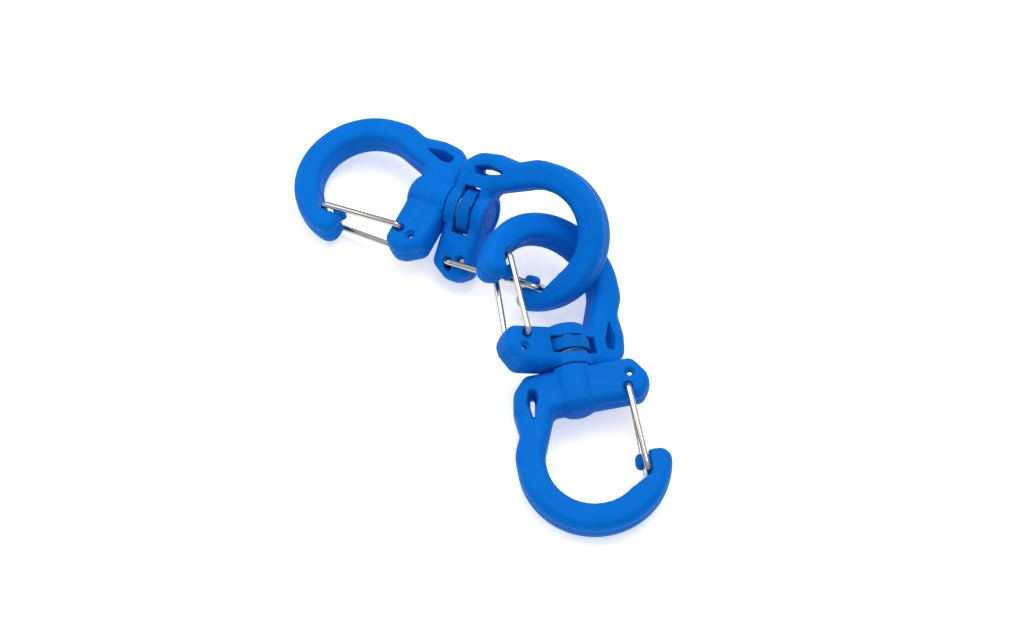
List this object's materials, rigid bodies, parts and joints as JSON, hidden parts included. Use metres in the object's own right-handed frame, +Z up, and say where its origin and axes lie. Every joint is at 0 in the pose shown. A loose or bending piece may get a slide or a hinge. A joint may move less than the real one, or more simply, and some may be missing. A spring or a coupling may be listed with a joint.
{
  "type": "linked swivel double carabiners",
  "caption": "Small moulded swivel double carabiners with sprung wire gates, one clipped through the other's loop, lying on a flat surface.",
  "frame": {"origin": "middle of the bounding box, on the surface that the two units lie on", "axes": "+Z up, +X right and +Y away as seen from the front, the linked pair lying flat"},
  "size_m": [0.0934, 0.1172, 0.0277],
  "materials": {
    "moulded_nylon": "satin moulded, fine flow lines",
    "moulded_acetal": "satin",
    "washer_nylon": "satin",
    "polished_wire": "polished",
    "spring_steel": "plain"
  },
  "bodies": {
    "window_body_1": {"window_hook_1": "moulded_nylon"},
    "plain_body_1": {"plain_hook_1": "moulded_nylon", "swivel_pin_1": "moulded_acetal", "retaining_collar_1": "moulded_acetal", "wave_spring_1": "spring_steel", "thrust_washer_1": "washer_nylon", "retaining_ring_1": "spring_steel"},
    "window_gate_body_1": {"window_gate_1": "polished_wire"},
    "plain_gate_body_1": {"plain_gate_1": "polished_wire"},
    "window_body_2": {"window_hook_2": "moulded_nylon"},
    "plain_body_2": {"plain_hook_2": "moulded_nylon", "swivel_pin_2": "moulded_acetal", "retaining_collar_2": "moulded_acetal", "wave_spring_2": "spring_steel", "thrust_washer_2": "washer_nylon", "retaining_ring_2": "spring_steel"},
    "window_gate_body_2": {"window_gate_2": "polished_wire"},
    "plain_gate_body_2": {"plain_gate_2": "polished_wire"}
  },
  "joints": [
    {"name": "swivel_1", "type": "hinge", "parent": "window_body_1", "child": "plain_body_1", "pos_m": [-0.0064, 0.03049, 0.01156], "axis": [0.8852, -0.4394, 0.153], "continuous": true},
    {"name": "window_gate_hinge_1", "type": "hinge", "parent": "window_body_1", "child": "window_gate_body_1", "pos_m": [-0.00303, 0.01732, 0.00585], "axis": [-0.3633, -0.4472, 0.8173], "range_deg": [0, 19], "stiffness_Nm_per_rad": 0.02, "springref_deg": -22.92},
    {"name": "plain_gate_hinge_1", "type": "hinge", "parent": "plain_body_1", "child": "plain_gate_body_1", "pos_m": [-0.0188, 0.02278, 0.00949], "axis": [0.1677, -0.0054, -0.9858], "range_deg": [0, 24], "stiffness_Nm_per_rad": 0.02, "springref_deg": -22.92},
    {"name": "swivel_2", "type": "hinge", "parent": "window_body_2", "child": "plain_body_2", "pos_m": [0.02267, -0.01679, 0.0094], "axis": [-0.184, 0.974, 0.1323], "continuous": true},
    {"name": "window_gate_hinge_2", "type": "hinge", "parent": "window_body_2", "child": "window_gate_body_2", "pos_m": [0.0103, -0.01188, 0.01576], "axis": [0.4452, -0.0374, 0.8947], "range_deg": [-10, 0], "stiffness_Nm_per_rad": 0.02, "springref_deg": 22.92},
    {"name": "plain_gate_hinge_2", "type": "hinge", "parent": "plain_body_2", "child": "plain_gate_body_2", "pos_m": [0.03635, -0.02225, 0.00896], "axis": [-0.0235, -0.1389, 0.99], "range_deg": [-24, 0], "stiffness_Nm_per_rad": 0.02, "springref_deg": 22.92},
    {"name": "link", "type": "hinge", "parent": "window_body_1", "child": "window_body_2", "pos_m": [0.02444, 0.00769, 0.00785], "axis": [0, 0, -1], "range_deg": [-30, 18]}
  ]
}
